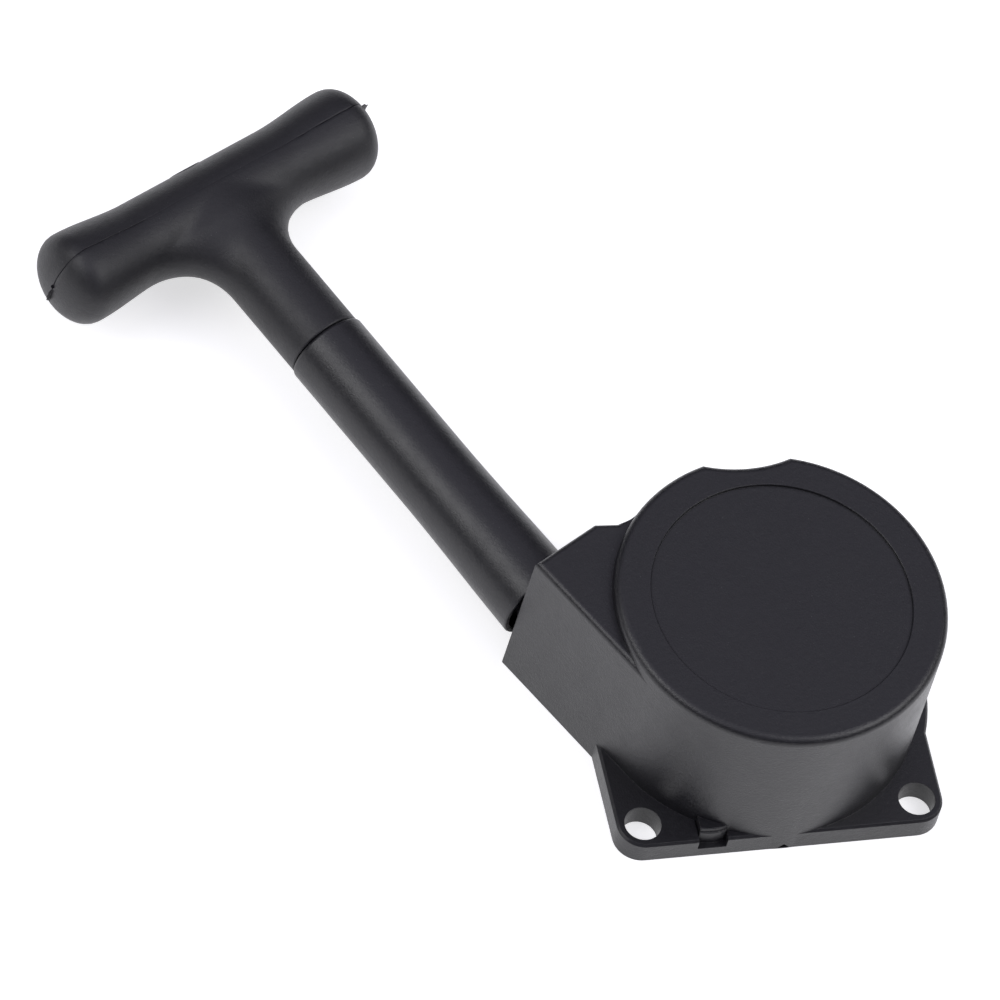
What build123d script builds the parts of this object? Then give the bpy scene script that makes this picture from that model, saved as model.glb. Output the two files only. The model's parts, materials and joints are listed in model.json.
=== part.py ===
from build123d import *
import math
import os

# Recoil starter for a small engine. Millimetres. Origin: the reel's axis on the mounting face.
# +Z points away from the engine, +X along the flange's front edge, +Y to the flange's rear edge.

# Fits, and how far joined shapes reach into each other
RUNNING = 0.05
PRESS = 0.02
EMBED = 0.5
NEAR = 0.01

# Case
DRUM_R = 35.0
CASE_H = 41.8
WALL = 2.7
TOP_WALL = 3.0
TOP_FILLET = 1.75
RECESS_R = 27.4
RECESS_DEPTH = 0.6
RECESS_RIM = 0.15
CAVITY_R = DRUM_R - WALL
CEILING = CASE_H - TOP_WALL

# Mounting flange
FLANGE_HALF = 34.9
FLANGE_T = 5.6
FLANGE_CORNER_R = 5.7
FLANGE_EDGE = 0.5
LUG_R = 37.5
HOLE_HALF = 29.4
HOLE_R = 3.9
NOTCH_X = (-18.4, -12.2)
NOTCH_FLOOR = 2.7
TAB_STEP_Z = (6.3, 7.4)
TAB_SIDE_Y = (-33.2, -32.9)
TAB_MIDDLE_Y = (-33.6, -33.2)
TAB_ROUND = 0.25
GATE_X = 0.4
GATE_HALF = 1.3
GATE_Z = (0.3, 1.6)
GATE_DEPTH = 1.4

# Hollow in the drum's rear wall
SCALLOP_R = 29.0
SCALLOP_Y = 61.2
SCALLOP_WALL = 2.3

# Rope outlet block: its side face is tangent to the drum
BLOCK_H = 38.8
BLOCK_ANGLE = 209.4
BLOCK_SIDE = DRUM_R - 0.05
BLOCK_LENGTH = 37.3
BLOCK_MOUTH = 16.6
BLOCK_REAR_Y = 23.15
BLOCK_SHOULDER = (-22.0, 27.2)
BLOCK_WALL = 2.5
BLOCK_FILLET = 1.3
BOLT_ACCESS_R = 6.3
SOCKET_RIB_T = 2.0

# Rope line: the guide tube, the grip's neck and the rope share one axis
LINE_ANGLE = 116.0
LINE_OFFSET = 29.4
LINE_Z = 15.75
GRIP_TURN = 3.1
ROPE_R = 1.45

# Distances along the rope line, from the point beside the reel's axis
EYELET_S = (19.0, 25.0)
SPIGOT_S = 27.0
TUBE_S = (36.3, 109.1)
GRIP_S = 109.25
T_CENTRE_S = 149.2

# Guide tube
TUBE_R = 8.75
TUBE_MOUTH_R = 9.5
TUBE_BORE_R = 2.6
TUBE_FLARE = 0.012
TUBE_ROUND = 0.8
TUBE_MOUTH_ROUND = 0.4
TUBE_INNER_ROUND = 0.3
SPIGOT_R = 4.9
SOCKET_R = 7.0
END_RECESS_R = (5.7, 8.2)
END_RECESS_DEPTH = 12.0
FERRULE_R = 3.9
FERRULE_LENGTH = 6.0
FERRULE_ROUND = 0.8
FERRULE_BACK = 0.3
EYELET_R = 3.4
EYELET_BORE_R = 2.05
EYELET_FLANGE_R = 4.4
EYELET_FLANGE_T = 0.8
EYELET_ROUND = 0.5
GROMMET_R = 6.25
GROMMET_S = 34.0

# T grip
NECK_R = 8.37
BAR_END_R = 10.15
BAR_WAIST_R = 8.9
BAR_HALF = 41.65
BAR_WAIST_X = 18.3
BAR_CAP = 6.3
CROTCH_R = 9.0
GRIP_BORE_R = 1.9
POCKET_R = 4.6
POCKET_S = 147.0
KNOT_WASHER_T = 1.0
KNOT_RISE = 3.0
KNOT_TURN_R = 1.75
KNOT_CORE_R = 2.4
KNOT_LEANS = ((5, 0.1), (65, 0.45))
KNOT_PLAY = 0.2
PLUG_LENGTH = 2.6
PLUG_STAND = 0.15

# Centre post, reel and rope
POST_R = 6.0
POST_END = 9.0
INSERT_R = 3.5
INSERT_LENGTH = 12.0
THREAD_R = 2.45
GROOVES_Z = (3.0, 6.0, 9.0)
GROOVE_WIDTH = 0.8
GROOVE_DEPTH = 0.4
REEL_R = 28.8
REEL_ROOT_R = 20.0
REEL_RIM_R = 18.0
REEL_GAP = 1.6
REEL_Z = (10.75, 20.75)
GROOVE_Z = (12.75, 18.75)
WEB_Z = (16.4, 18.4)
HUB_R = 9.0
HUB_Z = (9.2, 37.0)
RIB_COUNT = 6
RIB_T = 1.6
ROPE_PITCH = 1.5
INNER_TURN_R = REEL_ROOT_R + ROPE_PITCH
OUTER_TURN_R = 27.1
OUTER_TURN_SWEEP = 330
OUTER_TURN_GAP = 0.5
ROPE_BEND_R = 25.0
KNOT_ANGLE = 90.0
INNER_KNOT_RING_R = 14.8
INNER_KNOT_R = 2.0

# Spring cassette
CASSETTE_R = 26.5
CASSETTE_WALL = 1.4
CASSETTE_TOP = 1.2
CASSETTE_Z = (24.6, 38.7)
COVER_Z = (23.3, 24.5)
COVER_BORE_R = 9.8
SCREW_RING_R = 29.3
SCREW_ANGLES = (20.0, 160.0, 270.0)
CASE_BOSS_R = 2.7
SCREW_R = 1.2
SCREW_LENGTH = 10.0
SCREW_HEAD_R = 2.2
SCREW_HEAD_H = 1.4
SPRING_Z = (26.5, 35.5)
SPRING_R = (9.6, 24.4)
SPRING_TURNS = 8
SPRING_T = 0.5
HOOK_SIZE = (1.8, 0.8)
ANCHOR_SIZE = (2.0, 0.8)
HOOK_SLOT_T = 1.4
HOOK_SHIFT = 0.75
SPIRAL_STEPS = 16

# Clutch under the reel
PAWL_COUNT = 2
PAWL_RING_R = 12.0
PAWL_ANGLE = 30.0
PAWL_Z = (4.6, 10.2)
PAWL_LENGTH = 11.0
PAWL_BARREL_R = 2.6
PAWL_TIP_T = 2.6
PAWL_LEAN = 10.0
PAWL_SWING = 24.0
PAWL_PIN_R = 1.25
PIN_BOSS_R = 2.8
NUB_R = 1.1
NUB_REACH = 4.5
PLATE_Z = (3.05, 4.2)
PLATE_R = 15.6
PLATE_TURN = 22.0
SLOT_PLAY = 0.4
SLOT_SHARES = (-0.06, 0.5, 1.06)
SHOULDER_R = 3.0
WASHER_Z = (7.8, 9.0)
WASHER_R = 7.6
HEAD_Z = (0.2, 3.0)
HEAD_FLANGE_R = 6.0
HEAD_FLAT = 4.0
HEAD_H = 2.2
HEAD_FLANGE_T = 0.8
BRAKE_WIRE_R = 0.45
BRAKE_COIL_R = 4.6
BRAKE_TURNS = 3


def polar(r, angle):
    """The point at radius r and angle in degrees in the XY plane."""
    return (r * math.cos(math.radians(angle)), r * math.sin(math.radians(angle)))


def tube(r_out, r_in, z0, z1):
    """A plain ring about the reel's axis."""
    ring = Circle(r_out) - Circle(r_in)
    return Pos(0, 0, z0) * extrude(ring, z1 - z0)


def rod(r, z0, z1):
    """A plain cylinder about the reel's axis."""
    return Pos(0, 0, z0) * extrude(Circle(r), z1 - z0)


def line_plane(s):
    """A plane square to the rope line at distance s, with its normal along the line."""
    along = Vector(*polar(1, LINE_ANGLE))
    across = Vector(*polar(1, LINE_ANGLE + 90))
    origin = along * s + across * LINE_OFFSET + Vector(0, 0, LINE_Z)
    return Plane(origin=origin, x_dir=across, z_dir=along)


def line_point(s):
    """The point on the rope line at distance s."""
    return line_plane(s).origin


def line_rod(r, s0, s1):
    """A cylinder on the rope line."""
    return extrude(line_plane(s0) * Circle(r), s1 - s0)


def line_ring(r_out, r_in, s0, s1):
    """A ring on the rope line."""
    return line_rod(r_out, s0, s1) - line_rod(r_in, s0 - 1, s1 + 1)


def write(node, *solids):
    """Writes one node's STEP file."""
    shape = solids[0] if len(solids) == 1 else Compound(children=list(solids))
    export_step(shape, f"parts/{node}.step")


# ---------------------------------------------------------------- case

def block_corners():
    """The outlet block's corners, from the tangent point round the mouth to the drum."""
    start = Vector(*polar(BLOCK_SIDE, BLOCK_ANGLE))
    side = Vector(*polar(1, BLOCK_ANGLE - 90))
    inward = Vector(*polar(1, BLOCK_ANGLE - 180))
    outer = start + side * BLOCK_LENGTH
    inner = outer + inward * BLOCK_MOUTH
    return start, outer, inner


def block_outline(inset):
    """The block's plan, with its walls moved in by inset."""
    start, outer, inner = block_corners()
    side = Vector(*polar(1, BLOCK_ANGLE - 90))
    inward = Vector(*polar(1, BLOCK_ANGLE - 180))
    start = start + inward * inset
    outer = outer + inward * inset - side * inset
    inner = inner - side * inset - inward * inset
    rear_y = BLOCK_REAR_Y - inset
    shoulder_x, shoulder_y = BLOCK_SHOULDER
    return make_face(
        Polyline(
            (start.X, start.Y),
            (outer.X, outer.Y),
            (inner.X, inner.Y),
            (-HOLE_HALF, rear_y),
            (shoulder_x + inset, shoulder_y - inset),
            (0, 0),
            close=True,
        )
    )


def bolt_access(extra):
    """The clearance cylinder above the rear left bolt hole."""
    return Pos(-HOLE_HALF, HOLE_HALF, 0) * extrude(Circle(BOLT_ACCESS_R + extra), CASE_H)


def outlet_block():
    """The solid block, with its upper edges rounded."""
    block = extrude(block_outline(0), BLOCK_H)
    rim = []
    for edge in block.edges().filter_by(lambda e: e.center().Z > BLOCK_H - NEAR):
        middle = edge.center()
        if math.hypot(middle.X, middle.Y) > DRUM_R - 4:
            rim.append(edge)
    return fillet(rim, BLOCK_FILLET) - bolt_access(0)


def drum():
    """The solid drum with its rear hollow, and its top edge rounded."""
    plan = Circle(DRUM_R) - Pos(0, SCALLOP_Y) * Circle(SCALLOP_R)
    body = extrude(plan, CASE_H)
    rim = body.edges().filter_by(lambda e: e.center().Z > CASE_H - NEAR)
    return fillet(rim, TOP_FILLET)


def flange():
    """The square flange, with the lug on its right side."""
    lug = Circle(LUG_R) & Pos(LUG_R / 2, 0) * Rectangle(LUG_R + 1, 2 * FLANGE_HALF)
    plan = RectangleRounded(2 * FLANGE_HALF, 2 * FLANGE_HALF, FLANGE_CORNER_R) + lug
    plate = extrude(plan, FLANGE_T)
    rim = plate.edges().filter_by(lambda e: e.center().Z > FLANGE_T - NEAR)
    return chamfer(rim, FLANGE_EDGE)


def flange_notch():
    """The slot in the flange's front edge, cut down to its floor and in to the drum's wall."""
    low, high = NOTCH_X
    slot = Pos((low + high) / 2, -FLANGE_HALF) * Rectangle(high - low, 2 * (FLANGE_HALF - CAVITY_R + 6))
    return Pos(0, 0, NOTCH_FLOOR) * extrude(slot - Circle(DRUM_R - RUNNING), FLANGE_T)


def tab_step(top, side_y, middle_y):
    """One step of the notch's tab, with a bowed front and a rounded top edge."""
    low, high = NOTCH_X
    left = low + EMBED / 2
    right = high - EMBED / 2
    outline = [
        ThreePointArc((left, side_y), ((left + right) / 2, middle_y), (right, side_y)),
        Line((right, side_y), (right, -CAVITY_R / 2)),
        Line((right, -CAVITY_R / 2), (left, -CAVITY_R / 2)),
        Line((left, -CAVITY_R / 2), (left, side_y)),
    ]
    step = extrude(make_face(Curve() + outline), top - NOTCH_FLOOR + EMBED)
    front = step.edges().group_by(Axis.Z)[-1].sort_by(Axis.Y)[0]
    return Pos(0, 0, NOTCH_FLOOR - EMBED) * fillet(front, TAB_ROUND)


def notch_tab():
    """The upright tab at the notch's inner end, against the drum, in two steps."""
    steps = [tab_step(*sizes) for sizes in zip(TAB_STEP_Z, TAB_SIDE_Y, TAB_MIDDLE_Y)]
    return steps[0] + steps[1] - rod(DRUM_R - 1, 0, CASE_H)


def flange_cuts():
    """Four bolt holes, and the mark in the front edge where the moulding's gate broke off."""
    holes = [
        Pos(x, y, -1) * extrude(Circle(HOLE_R), FLANGE_T + 2)
        for x in (-HOLE_HALF, HOLE_HALF)
        for y in (-HOLE_HALF, HOLE_HALF)
    ]
    low, high = GATE_Z
    gate_plan = make_face(Polyline((-GATE_HALF, low), (GATE_HALF, low), (0, high), close=True))
    gate_plane = Plane(origin=(GATE_X, -DRUM_R - EMBED, 0), x_dir=(1, 0, 0), z_dir=(0, -1, 0))
    gate = extrude(gate_plane * gate_plan, -GATE_DEPTH)
    return holes + [gate]


def cavity():
    """The space inside the case, open at the mounting face."""
    keep = Pos(0, SCALLOP_Y) * Circle(SCALLOP_R + SCALLOP_WALL)
    inside_drum = Pos(0, 0, -1) * extrude(Circle(CAVITY_R) - keep, CEILING + 1)
    inside_block = Pos(0, 0, -1) * extrude(block_outline(BLOCK_WALL), BLOCK_H - BLOCK_WALL + 1)
    return inside_drum + (inside_block - bolt_access(BLOCK_WALL))


def rope_socket():
    """The boss that holds the guide tube's spigot, with a rib to the block's floor and roof."""
    boss = line_rod(SOCKET_R, EYELET_S[0], TUBE_S[0] + 2)
    rib_plane = line_plane(EYELET_S[1])
    rib = extrude(rib_plane * Rectangle(2 * SOCKET_R, 4 * BLOCK_H), SOCKET_RIB_T)
    return boss + rib


def post():
    """The centre post under the top wall, and the three bosses of the cassette's screws."""
    solid = rod(POST_R, POST_END, CEILING + 1)
    for angle in SCREW_ANGLES:
        x, y = polar(SCREW_RING_R, angle)
        solid += Pos(x, y, COVER_Z[1]) * extrude(Circle(CASE_BOSS_R), CEILING + 1 - COVER_Z[1])
    return solid


def post_cuts():
    """The seat of the threaded insert, and the screw holes."""
    seat = rod(INSERT_R, POST_END - 1, POST_END + INSERT_LENGTH)
    run_out = rod(THREAD_R + RUNNING, POST_END, POST_END + INSERT_LENGTH + 4)
    cuts = [seat, run_out]
    for angle in SCREW_ANGLES:
        x, y = polar(SCREW_RING_R, angle)
        cuts.append(Pos(x, y, COVER_Z[1] - 1) * extrude(Circle(SCREW_R + PRESS), SCREW_LENGTH + 1))
    return cuts


def rope_cuts():
    """The bores of the spigot, the grommet, the rope and the eyelet."""
    return [
        line_rod(SPIGOT_R + RUNNING, SPIGOT_S, TUBE_S[0] + 5),
        line_rod(GROMMET_R + RUNNING, GROMMET_S, TUBE_S[0] + 5),
        line_rod(EYELET_R, EYELET_S[0] - 4, SPIGOT_S + 1),
        line_rod(EYELET_FLANGE_R + RUNNING, EYELET_S[0] - 6, EYELET_S[0] + 1),
    ]


def top_recess():
    """The shallow round recess in the drum's top, with a bevelled rim."""
    low = (Align.CENTER, Align.CENTER, Align.MIN)
    rim = Cone(RECESS_R, RECESS_R + 2 * RECESS_RIM, 2 * RECESS_RIM, align=low)
    return rod(RECESS_R, CASE_H - RECESS_DEPTH, CASE_H + 1) + Pos(0, 0, CASE_H - RECESS_RIM) * rim


def starter_case():
    """The moulded case: drum, outlet block, flange and what stands inside them."""
    outer = drum() + outlet_block() + flange()
    shell = outer - cavity() - flange_notch() + notch_tab()
    inner = (rope_socket() & outer) - rod(REEL_R + REEL_GAP, -1, CASE_H)
    inner = inner - Pos(0, 0, CEILING) * Box(200, 200, 100, align=(Align.CENTER, Align.CENTER, Align.MIN))
    solid = shell + inner + post()
    for cut in flange_cuts() + post_cuts() + rope_cuts():
        solid -= cut
    return solid - top_recess()


# ---------------------------------------------------------------- guide tube

def rope_guide_tube():
    """The stout tube between the case and the grip, with its spigot in the case."""
    s0, s1 = TUBE_S
    middle = (s0 + s1) / 2
    corner = TUBE_ROUND
    lip = TUBE_MOUTH_ROUND
    outline = [
        Line((0, SPIGOT_S), (SPIGOT_R, SPIGOT_S)),
        Line((SPIGOT_R, SPIGOT_S), (SPIGOT_R, s0)),
        Line((SPIGOT_R, s0), (TUBE_MOUTH_R - lip, s0)),
        RadiusArc((TUBE_MOUTH_R - lip, s0), (TUBE_MOUTH_R, s0 + lip), -lip),
        Spline((TUBE_MOUTH_R, s0 + lip), (TUBE_R, middle), tangents=[(-TUBE_FLARE, 1), (0, 1)]),
        Line((TUBE_R, middle), (TUBE_R, s1 - corner)),
        RadiusArc((TUBE_R, s1 - corner), (TUBE_R - corner, s1), -corner),
        Line((TUBE_R - corner, s1), (0, s1)),
        Line((0, s1), (0, SPIGOT_S)),
    ]
    face = make_face(Curve() + outline)
    start = line_plane(0)
    upright = Plane(origin=start.origin, x_dir=start.x_dir, z_dir=start.x_dir.cross(start.z_dir))
    body = revolve(upright * face, Axis(start.origin, start.z_dir))
    body -= line_rod(TUBE_BORE_R, SPIGOT_S - 1, s1 + 1)
    body -= line_ring(END_RECESS_R[1], END_RECESS_R[0], s0, s0 + END_RECESS_DEPTH)
    rings = body.edges().filter_by(GeomType.CIRCLE)
    mouth = rings.filter_by(lambda e: abs(e.radius - END_RECESS_R[1]) < NEAR)
    body = fillet(mouth.sort_by_distance(line_plane(s0).origin)[0], TUBE_INNER_ROUND)
    return body - line_rod(FERRULE_R, s1 - FERRULE_LENGTH, s1 + 1)


def outlet_grommet():
    """The soft ring round the spigot in the case's mouth."""
    return line_ring(GROMMET_R, SPIGOT_R + RUNNING, GROMMET_S, TUBE_S[0] - PRESS)


def tube_ferrule():
    """The hard bush that the rope rubs on at the tube's outer end."""
    s1 = TUBE_S[1]
    bush = line_ring(FERRULE_R - PRESS, EYELET_BORE_R, s1 - FERRULE_LENGTH + PRESS, s1 - FERRULE_BACK)
    edges = bush.edges().filter_by(GeomType.CIRCLE).group_by(SortBy.RADIUS)[0]
    return fillet(edges, FERRULE_ROUND)


def rope_eyelet():
    """The steel eyelet that the rope bends round as it leaves the reel."""
    sleeve = line_rod(EYELET_R - PRESS, EYELET_S[0], EYELET_S[1])
    lip = line_rod(EYELET_FLANGE_R, EYELET_S[0] - EYELET_FLANGE_T, EYELET_S[0])
    ring = (sleeve + lip) - line_rod(EYELET_BORE_R, EYELET_S[0] - 2, EYELET_S[1] + 1)
    edges = ring.edges().filter_by(GeomType.CIRCLE).group_by(SortBy.RADIUS)[0]
    return fillet(edges, EYELET_ROUND)


# ---------------------------------------------------------------- grip

def grip_frame():
    """The grip's own plane: x along the T's bar, z along the rope line, turned about that line."""
    base = line_plane(T_CENTRE_S)
    bar = base.x_dir.rotate(Axis((0, 0, 0), base.z_dir), GRIP_TURN)
    return Plane(origin=base.origin, x_dir=bar, z_dir=base.z_dir)


def bar_solid(extra=0):
    """The T's bar: elliptical ends and a gentle waist, turned about its own axis."""
    end_x = BAR_HALF - BAR_CAP
    waist = BAR_WAIST_R + extra
    full = BAR_END_R + extra
    cap = EllipticalCenterArc((end_x, 0), BAR_CAP + extra, full, start_angle=0, arc_size=90)
    right = [
        Spline((0, waist), (BAR_WAIST_X, waist), (end_x, full), tangents=[(1, 0), (1, 0)]),
        cap,
        Line(cap @ 0, (0, 0)),
        Line((0, 0), (0, waist)),
    ]
    half = revolve(make_face(Curve() + right), Axis.X)
    return half + mirror(half, Plane.YZ)


def grip_handle():
    """The one-piece T grip, with the rope's bore and the knot's pocket."""
    frame = grip_frame()
    neck_length = T_CENTRE_S - GRIP_S
    neck = Pos(0, 0, -neck_length) * extrude(Circle(NECK_R), neck_length)
    low_edge = neck.edges().filter_by(lambda e: e.center().Z < NEAR - neck_length)
    neck = fillet(low_edge, TUBE_ROUND / 2)
    body = bar_solid() + neck
    crotch = []
    for edge in body.edges():
        middle = edge.center()
        if -BAR_END_R < middle.Z < -EMBED and abs(middle.X) < NECK_R + EMBED:
            crotch.append(edge)
    solid = frame * fillet(crotch, CROTCH_R)
    solid -= line_rod(GRIP_BORE_R, GRIP_S - 1, POCKET_S + 1)
    return solid - line_rod(POCKET_R, POCKET_S, T_CENTRE_S + BAR_END_R + 5)


def knot_washer():
    """The steel washer under the rope's knot."""
    return line_ring(POCKET_R - KNOT_PLAY, GRIP_BORE_R, POCKET_S, POCKET_S + KNOT_WASHER_T)


def grip_knot():
    """The rope's end knot, on its washer."""
    centre = line_point(POCKET_S + KNOT_WASHER_T + KNOT_RISE)
    knot = Pos(*centre) * Sphere(KNOT_CORE_R)
    for lean, tilt in KNOT_LEANS:
        turn = Plane(origin=centre, z_dir=(*polar(1, LINE_ANGLE + lean), tilt))
        knot += turn * Torus(KNOT_TURN_R, ROPE_R)
    return knot


def grip_plug():
    """The plug that closes the knot's pocket, shaped to the bar's outer face."""
    blank = line_rod(POCKET_R - 0.05, T_CENTRE_S + BAR_WAIST_R - PLUG_LENGTH, T_CENTRE_S + BAR_END_R + 5)
    return blank & (grip_frame() * bar_solid(PLUG_STAND))


# ---------------------------------------------------------------- rope

def rope_bend():
    """Where the rope bends, in the middle of the eyelet."""
    return line_point((EYELET_S[0] + EYELET_S[1]) / 2)


def foot_angle():
    """The angle round the reel where the rope leaves it, straight towards the bend."""
    bend = rope_bend()
    bend_angle = math.degrees(math.atan2(bend.Y, bend.X))
    return bend_angle + math.degrees(math.acos(OUTER_TURN_R / math.hypot(bend.X, bend.Y)))


def starter_rope():
    """The rope from the reel to the knot, bent once in the eyelet."""
    foot = Vector(*polar(OUTER_TURN_R, foot_angle()), LINE_Z)
    bend = rope_bend()
    path = FilletPolyline(foot, bend, line_point(POCKET_S + KNOT_WASHER_T - EMBED), radius=ROPE_BEND_R)
    start = Plane(origin=foot, z_dir=bend - foot)
    return sweep(start * Circle(ROPE_R), path=path)


def rope_coil():
    """The wound rope as separate turns: two under layers of two turns, and the outer turn."""
    turns = []
    for radius in (INNER_TURN_R, INNER_TURN_R + 2 * ROPE_PITCH):
        for side in (-ROPE_PITCH, ROPE_PITCH):
            turns.append(Pos(0, 0, LINE_Z + side) * Torus(radius, ROPE_R))
    section = Plane(origin=(OUTER_TURN_R, 0, LINE_Z), z_dir=(0, 1, 0)) * Circle(ROPE_R)
    outer = revolve(section, Axis.Z, OUTER_TURN_SWEEP)
    turns.append(Rot(0, 0, foot_angle() + OUTER_TURN_GAP) * outer)
    return turns


def reel_knot():
    """The rope's inner end: a knot behind the reel's rim, and the short length through the rim."""
    x, y = polar(INNER_KNOT_RING_R, KNOT_ANGLE)
    z = LINE_Z - ROPE_PITCH
    ball = Pos(x, y, z) * Sphere(INNER_KNOT_R)
    along = Vector(*polar(1, KNOT_ANGLE))
    stub = extrude(Plane(origin=(x, y, z), z_dir=along) * Circle(ROPE_R), REEL_ROOT_R - INNER_KNOT_RING_R)
    return ball + stub


# ---------------------------------------------------------------- reel

def reel_ribs():
    """The ribs between the hub and the rim."""
    ribs = []
    span = REEL_RIM_R - HUB_R + 1
    for i in range(RIB_COUNT):
        bar = Pos((REEL_RIM_R + HUB_R) / 2, 0) * Rectangle(span, RIB_T)
        rib = Pos(0, 0, REEL_Z[0] + 1) * extrude(bar, REEL_Z[1] - REEL_Z[0] - 2)
        ribs.append(Rot(0, 0, 360 / RIB_COUNT * i) * rib)
    return ribs


def pawl_places():
    """The pawls' pivots, as angles round the reel."""
    return [PAWL_ANGLE + 360 / PAWL_COUNT * i for i in range(PAWL_COUNT)]


def rope_reel():
    """The reel: hub, web, ribs, rim and two cheeks, with bosses for the pawls' pins."""
    body = tube(HUB_R, POST_R + RUNNING, *HUB_Z)
    body += tube(REEL_ROOT_R, REEL_RIM_R, *REEL_Z)
    body += tube(REEL_R, REEL_RIM_R, REEL_Z[0], GROOVE_Z[0])
    body += tube(REEL_R, REEL_RIM_R, GROOVE_Z[1], REEL_Z[1])
    body += tube(REEL_RIM_R + EMBED, HUB_R - EMBED, *WEB_Z)
    for rib in reel_ribs():
        body += rib
    for angle in pawl_places():
        x, y = polar(PAWL_RING_R, angle)
        body += Pos(x, y, PAWL_Z[1] + RUNNING) * extrude(Circle(PIN_BOSS_R), WEB_Z[0] - PAWL_Z[1] + RUNNING)
        body -= Pos(x, y, PAWL_Z[1] - 1) * extrude(Circle(PAWL_PIN_R), WEB_Z[0] - PAWL_Z[1] + 1)
    along = Vector(*polar(1, KNOT_ANGLE))
    x, y = polar(REEL_RIM_R - 2, KNOT_ANGLE)
    body -= extrude(Plane(origin=(x, y, LINE_Z - ROPE_PITCH), z_dir=along) * Circle(ROPE_R + KNOT_PLAY), 5)
    hook_slot = Pos(HUB_R, 0, (SPRING_Z[0] + SPRING_Z[1]) / 2)
    return body - hook_slot * Box(4, HOOK_SLOT_T, SPRING_Z[1] - SPRING_Z[0] + 1)


def pawl_pins():
    """The two pins that the pawls swing on, pressed into the reel."""
    pins = []
    for angle in pawl_places():
        x, y = polar(PAWL_RING_R, angle)
        foot_z = PAWL_Z[0] + EMBED
        pins.append(Pos(x, y, foot_z) * extrude(Circle(PAWL_PIN_R), WEB_Z[0] - RUNNING - foot_z))
    return pins


# ---------------------------------------------------------------- clutch

def pawl_direction(place):
    """The pawl's direction at rest: along the turn of the reel, leaning in."""
    return place - 90 - PAWL_LEAN


def nub_point(place, swing):
    """The nub's centre in the reel's frame, with the pawl swung out."""
    px, py = polar(PAWL_RING_R, place)
    dx, dy = polar(NUB_REACH, pawl_direction(place) + swing)
    return px + dx, py + dy


def pawl(place):
    """One pawl: barrel, tapered arm with a square tip, and the nub in the plate's slot."""
    px, py = polar(PAWL_RING_R, place)
    outline = Polyline(
        (0, PAWL_BARREL_R),
        (PAWL_LENGTH, PAWL_TIP_T / 2),
        (PAWL_LENGTH, -PAWL_TIP_T / 2),
        (0, -PAWL_BARREL_R),
        close=True,
    )
    plan = Circle(PAWL_BARREL_R) + make_face(outline)
    plan = Pos(px, py) * (Rot(0, 0, pawl_direction(place)) * plan)
    body = Pos(0, 0, PAWL_Z[0]) * extrude(plan, PAWL_Z[1] - PAWL_Z[0])
    nx, ny = nub_point(place, 0)
    body += Pos(nx, ny, PLATE_Z[0] + RUNNING) * extrude(Circle(NUB_R), PAWL_Z[0] - PLATE_Z[0])
    bore = Pos(px, py, PAWL_Z[0] - 1) * extrude(Circle(PAWL_PIN_R + RUNNING), PAWL_Z[1] - PAWL_Z[0] + 2)
    return body - bore


def plate_slot(place):
    """The slot that swings one pawl as the plate turns against the reel."""
    path = []
    for share in SLOT_SHARES:
        x, y = nub_point(place, PAWL_SWING * share)
        turn = math.radians(-PLATE_TURN * share)
        path.append((x * math.cos(turn) - y * math.sin(turn), x * math.sin(turn) + y * math.cos(turn)))
    arc = ThreePointArc(*path)
    return Pos(0, 0, PLATE_Z[0] - 1) * extrude(SlotArc(arc, 2 * NUB_R + SLOT_PLAY), PLATE_Z[1] - PLATE_Z[0] + 2)


def friction_plate():
    """The plate that is held back by the brake spring and swings the pawls out."""
    body = tube(PLATE_R, SHOULDER_R + RUNNING, *PLATE_Z)
    for place in pawl_places():
        body -= plate_slot(place)
    return body


def friction_spring():
    """The small coil spring between the washer and the friction plate."""
    low = PLATE_Z[1] + BRAKE_WIRE_R + PRESS
    high = WASHER_Z[0] - BRAKE_WIRE_R - PRESS
    path = Pos(0, 0, low) * Helix((high - low) / BRAKE_TURNS, high - low, BRAKE_COIL_R)
    start = Plane(origin=path @ 0, z_dir=path % 0)
    return sweep(start * Circle(BRAKE_WIRE_R), path=path, is_frenet=True)


def reel_washer():
    """The washer on the post's end that keeps the reel on."""
    return tube(WASHER_R, THREAD_R + RUNNING, *WASHER_Z)


def reel_screw():
    """The shouldered screw in the post's insert, with a flanged hexagon head."""
    head = Pos(0, 0, HEAD_Z[0]) * extrude(RegularPolygon(HEAD_FLAT, 6, major_radius=False), HEAD_H)
    cap = rod(HEAD_FLANGE_R, HEAD_Z[1] - HEAD_FLANGE_T, HEAD_Z[1])
    shoulder = rod(SHOULDER_R, HEAD_Z[1] - EMBED, WASHER_Z[0])
    shank = rod(THREAD_R, WASHER_Z[0] - EMBED, POST_END + INSERT_LENGTH)
    return head + cap + shoulder + shank


def threaded_insert():
    """The brass insert in the post's end, with grooves round it."""
    body = tube(INSERT_R - PRESS, THREAD_R + RUNNING, POST_END, POST_END + INSERT_LENGTH - PRESS)
    for z in GROOVES_Z:
        body -= tube(INSERT_R + 1, INSERT_R - GROOVE_DEPTH, POST_END + z, POST_END + z + GROOVE_WIDTH)
    return body


# ---------------------------------------------------------------- spring

def spring_cassette():
    """The cup under the case's top wall that holds the rewind spring."""
    top = CASSETTE_Z[1]
    cup = tube(CASSETTE_R, CASSETTE_R - CASSETTE_WALL, *CASSETTE_Z)
    cup += tube(CASSETTE_R, POST_R + RUNNING, top - CASSETTE_TOP, top)
    slot = Pos(-CASSETTE_R, 0, (SPRING_Z[0] + SPRING_Z[1]) / 2)
    return cup - slot * Box(6, HOOK_SLOT_T, SPRING_Z[1] - SPRING_Z[0] + 1)


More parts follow.
